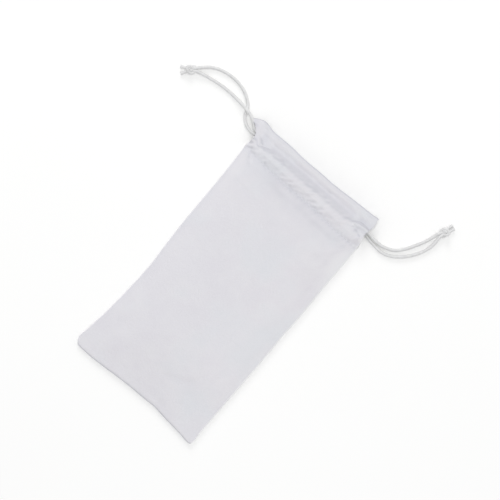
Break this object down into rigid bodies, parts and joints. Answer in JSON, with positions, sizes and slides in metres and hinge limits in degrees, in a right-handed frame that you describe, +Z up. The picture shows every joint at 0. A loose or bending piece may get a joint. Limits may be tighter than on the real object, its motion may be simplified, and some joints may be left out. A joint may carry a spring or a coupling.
{
  "type": "drawstring pouch",
  "caption": "Flat soft cloth pouch, sewn on three sides, with a folded casing round its mouth and two opposed drawstrings, each knotted outside.",
  "frame": {"origin": "centre of the pouch's outline, on the surface that its back panel lies on", "axes": "+X across the pouch to the right, +Y from the bottom seam to the mouth, +Z up from the surface"},
  "size_m": [0.1903, 0.2032, 0.0132],
  "materials": {
    "cloth": "soft brushed microfibre, matt",
    "seam_allowance": "raw cloth edge, matt",
    "thread": "fine spun polyester thread",
    "cord": "round braided polyester cord, satin"
  },
  "bodies": {
    "pouch_body": {"front_panel": "cloth", "back_panel": "cloth", "front_casing": "cloth", "back_casing": "cloth", "left_side_seam": "seam_allowance", "right_side_seam": "seam_allowance", "bottom_seam": "seam_allowance", "front_hem_stitching": "thread", "back_hem_stitching": "thread", "left_seam_thread": "thread", "right_seam_thread": "thread", "bottom_seam_thread": "thread"},
    "left_drawstring": {"left_cord_loop": "cord", "left_tail_front": "cord", "left_tail_back": "cord", "left_knot": "cord"},
    "right_drawstring": {"right_cord_loop": "cord", "right_tail_front": "cord", "right_tail_back": "cord", "right_knot": "cord"}
  },
  "joints": [
    {"name": "left_pull", "type": "slide", "parent": "pouch_body", "child": "left_drawstring", "axis": [-1, 0, 0], "range_m": [0, 0.034], "deforming": ["front_casing", "back_casing", "front_hem_stitching", "back_hem_stitching"]},
    {"name": "right_pull", "type": "slide", "parent": "pouch_body", "child": "right_drawstring", "axis": [1, 0, 0], "range_m": [0, 0.034], "deforming": ["front_casing", "back_casing", "front_hem_stitching", "back_hem_stitching"]}
  ]
}
